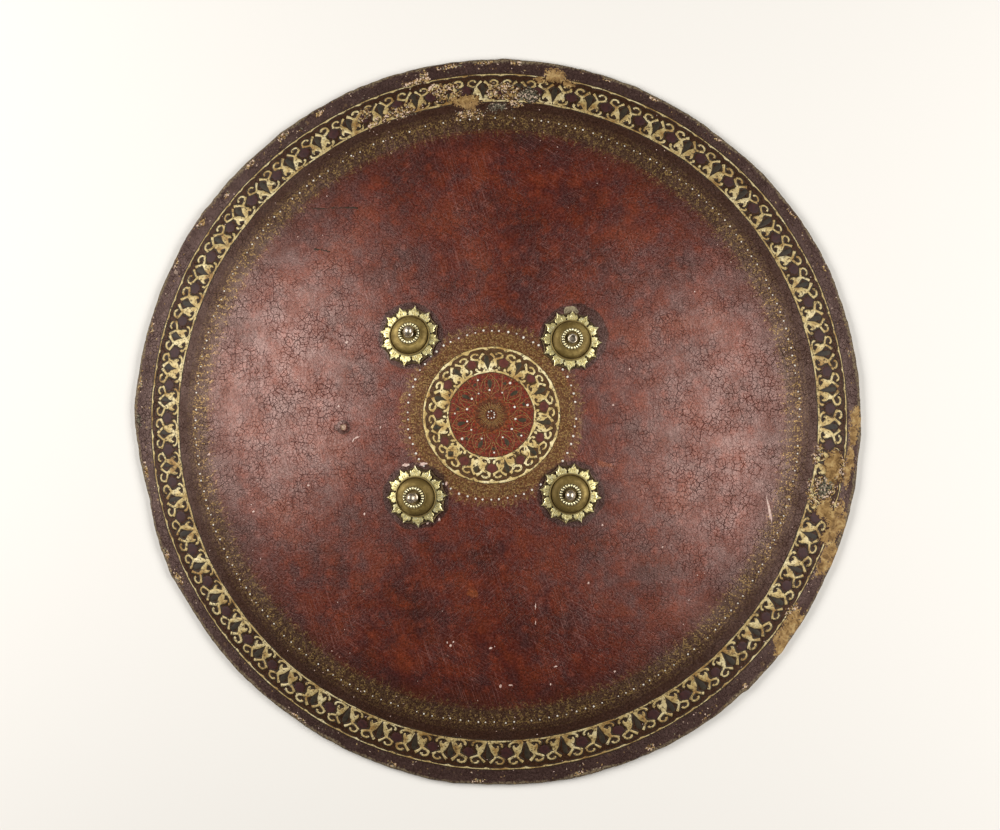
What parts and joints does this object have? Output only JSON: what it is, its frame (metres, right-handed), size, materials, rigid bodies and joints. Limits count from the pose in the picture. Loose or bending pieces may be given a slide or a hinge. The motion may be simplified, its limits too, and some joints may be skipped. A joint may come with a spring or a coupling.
{
  "type": "dhal shield",
  "caption": "Round domed hide shield with a flared rim, gilt scroll band and medallion, star bosses in the middle and two strap grips behind.",
  "frame": {"origin": "on the plane the rim rests on, below the middle of the dome", "axes": "+Z out of the shield's face, square to the rim; +Y to the top of the face as pictured; +X to its right"},
  "size_m": [0.5409, 0.5404, 0.0861],
  "materials": {
    "lacquered_hide": "red-brown lacquer over thick hide, finely crazed, dark band near the rim, worn edge",
    "gilding": "gold leaf scrollwork and lines laid on the lacquer, worn in places",
    "silver_dots": "small dots of silver paint on the lacquer",
    "pale_brass": "pale polished brass, punched and engraved",
    "dull_brass": "dark olive patina on turned brass",
    "bronzed_sheet": "brown patina on thin sheet",
    "silvered_brass": "polished silvered ball heads",
    "grip_leather": "plain brown leather, rubbed where it is held"
  },
  "bodies": {
    "root": {"hide_shell": "lacquered_hide", "under_plate_top_left": "bronzed_sheet", "under_plate_top_right": "bronzed_sheet", "under_plate_bottom_left": "bronzed_sheet", "under_plate_bottom_right": "bronzed_sheet", "star_plate_top_left": "pale_brass", "star_plate_top_right": "pale_brass", "star_plate_bottom_left": "pale_brass", "star_plate_bottom_right": "pale_brass", "boss_dome_top_left": "dull_brass", "boss_dome_top_right": "dull_brass", "boss_dome_bottom_left": "dull_brass", "boss_dome_bottom_right": "dull_brass", "milled_collar_top_left": "pale_brass", "milled_collar_top_right": "pale_brass", "milled_collar_bottom_left": "pale_brass", "milled_collar_bottom_right": "pale_brass", "ball_bolt_top_left": "silvered_brass", "ball_bolt_top_right": "silvered_brass", "ball_bolt_bottom_left": "silvered_brass", "ball_bolt_bottom_right": "silvered_brass", "back_washer_top_left": "dull_brass", "back_washer_top_right": "dull_brass", "back_washer_bottom_left": "dull_brass", "back_washer_bottom_right": "dull_brass", "grip_left": "grip_leather", "grip_right": "grip_leather"}
  },
  "joints": []
}
